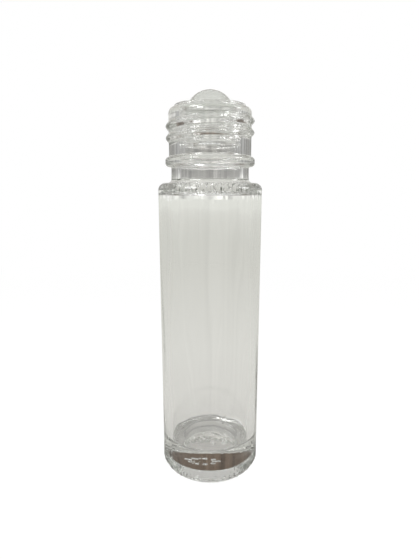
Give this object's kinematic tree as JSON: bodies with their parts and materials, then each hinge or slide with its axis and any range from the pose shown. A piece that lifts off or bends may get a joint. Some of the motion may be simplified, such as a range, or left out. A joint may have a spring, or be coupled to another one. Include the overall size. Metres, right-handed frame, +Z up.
{
  "type": "roll-on bottle",
  "caption": "Slim cylindrical clear glass bottle with a thick base, a beaded screw neck and a push-in roller housing that holds a ball for applying liquid.",
  "frame": {"origin": "centre of the ring that the bottle stands on", "axes": "+Z up along the bottle's axis to the mouth, -Y towards the viewer of the picture, +X to the viewer's right"},
  "size_m": [0.02, 0.02, 0.0771],
  "materials": {
    "clear_glass": "smooth moulded clear glass",
    "clear_plastic": "glossy natural clear plastic",
    "ball_glass": "polished clear glass"
  },
  "bodies": {
    "bottle": {"glass_bottle": "clear_glass"},
    "roller": {"roller_housing": "clear_plastic"},
    "ball": {"roller_ball": "ball_glass"}
  },
  "joints": [
    {"name": "roller_pull", "type": "slide", "parent": "bottle", "child": "roller", "axis": [0, 0, 1], "range_m": [0, 0.014]},
    {"name": "ball_roll", "type": "hinge", "parent": "roller", "child": "ball", "pos_m": [0, 0, 0.07235], "axis": [1, 0, 0], "continuous": true}
  ]
}
